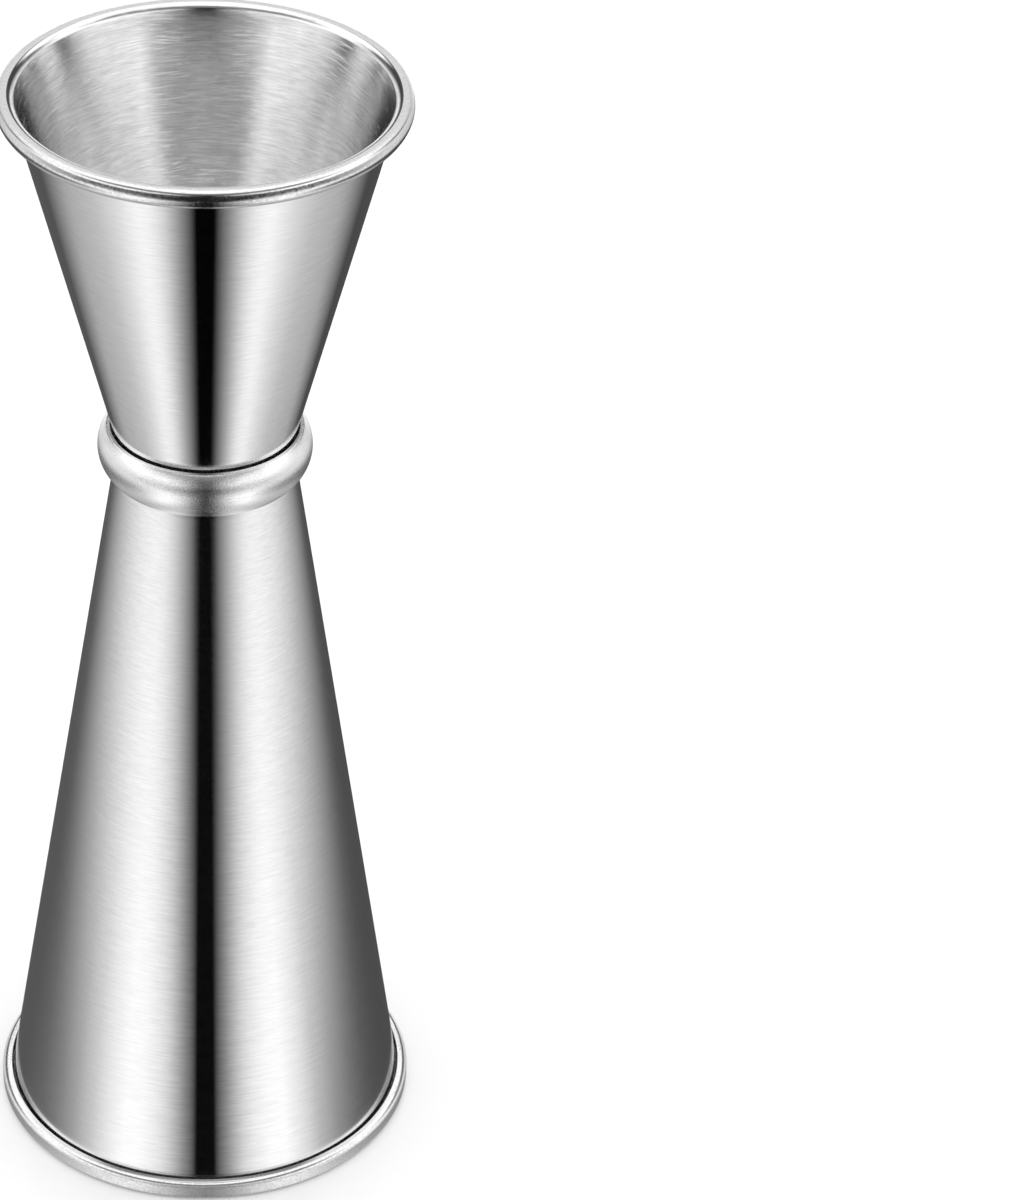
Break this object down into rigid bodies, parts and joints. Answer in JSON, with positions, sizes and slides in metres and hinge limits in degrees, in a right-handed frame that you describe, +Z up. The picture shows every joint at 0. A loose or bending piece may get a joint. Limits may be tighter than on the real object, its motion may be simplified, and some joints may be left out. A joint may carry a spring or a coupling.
{
  "type": "bar jigger",
  "caption": "Double-ended spirit measure: small and large sheet-steel cones joined floor to floor, rolled rims, half-round collar at the waist.",
  "frame": {"origin": "centre of the large cup's rim, on the plane the jigger stands on", "axes": "+Z up along the jigger's axis, from the large cup's mouth to the small cup's mouth; +X and +Y are any two radii, since the piece is round"},
  "size_m": [0.0466, 0.0466, 0.1277],
  "materials": {
    "cup_steel": "fine circumferential brush over bright stainless steel, rims polished",
    "collar_steel": "satin, softer and more matte than the cups",
    "weld_steel": "as welded, hidden between the floors",
    "braze_metal": "as flowed, hidden inside the collar"
  },
  "bodies": {
    "root": {"small_cup": "cup_steel", "large_cup": "cup_steel", "waist_collar": "collar_steel", "spot_welds": "weld_steel", "collar_braze": "braze_metal"}
  },
  "joints": []
}
